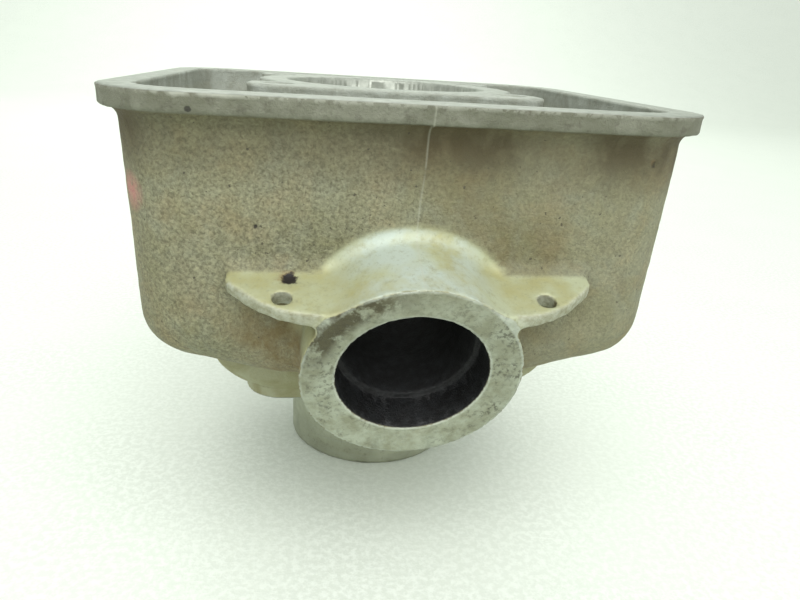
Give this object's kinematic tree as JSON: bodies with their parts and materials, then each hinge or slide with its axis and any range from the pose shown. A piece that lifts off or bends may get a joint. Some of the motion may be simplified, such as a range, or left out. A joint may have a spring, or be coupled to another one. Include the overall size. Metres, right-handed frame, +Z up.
{
  "type": "engine cylinder barrel",
  "caption": "Liquid-cooled two-stroke cylinder barrel: open water jacket with a head rim, slanted round exhaust spigot between spring ears, base flange and iron skirt.",
  "frame": {"origin": "middle of the footprint, in the plane that the end of the liner's skirt stands on", "axes": "+Z up the cylinder axis, from the skirt to the head rim; -Y towards the exhaust spigot; +X to the right seen from the exhaust side"},
  "size_m": [0.15, 0.1842, 0.131],
  "materials": {
    "cast_aluminium": "sand cast, dull, machined on the joint faces",
    "liner_iron": "turned and honed",
    "steel": "turned",
    "brass": "turned, slightly tarnished",
    "washer": "soft, dull"
  },
  "bodies": {
    "root": {"head_rim": "cast_aluminium", "exhaust_spigot": "cast_aluminium", "spring_ear_left": "cast_aluminium", "spring_ear_right": "cast_aluminium", "drain_boss": "cast_aluminium", "coolant_boss": "cast_aluminium", "jacket_wall_left": "cast_aluminium", "jacket_wall_right": "cast_aluminium", "jacket_wall_front": "cast_aluminium", "jacket_wall_back": "cast_aluminium", "base_flange_left": "cast_aluminium", "base_flange_right": "cast_aluminium", "transfer_body_left": "cast_aluminium", "transfer_body_right": "cast_aluminium", "port_block_left": "cast_aluminium", "port_block_right": "cast_aluminium", "cylinder_post_left": "cast_aluminium", "cylinder_post_right": "cast_aluminium", "cylinder_liner": "liner_iron", "liner_peg": "steel", "base_dowel_rear_left": "steel", "base_dowel_rear_right": "steel", "coolant_nipple": "brass", "coolant_nipple_washer": "washer", "drain_plug": "steel", "drain_plug_washer": "washer"}
  },
  "joints": []
}
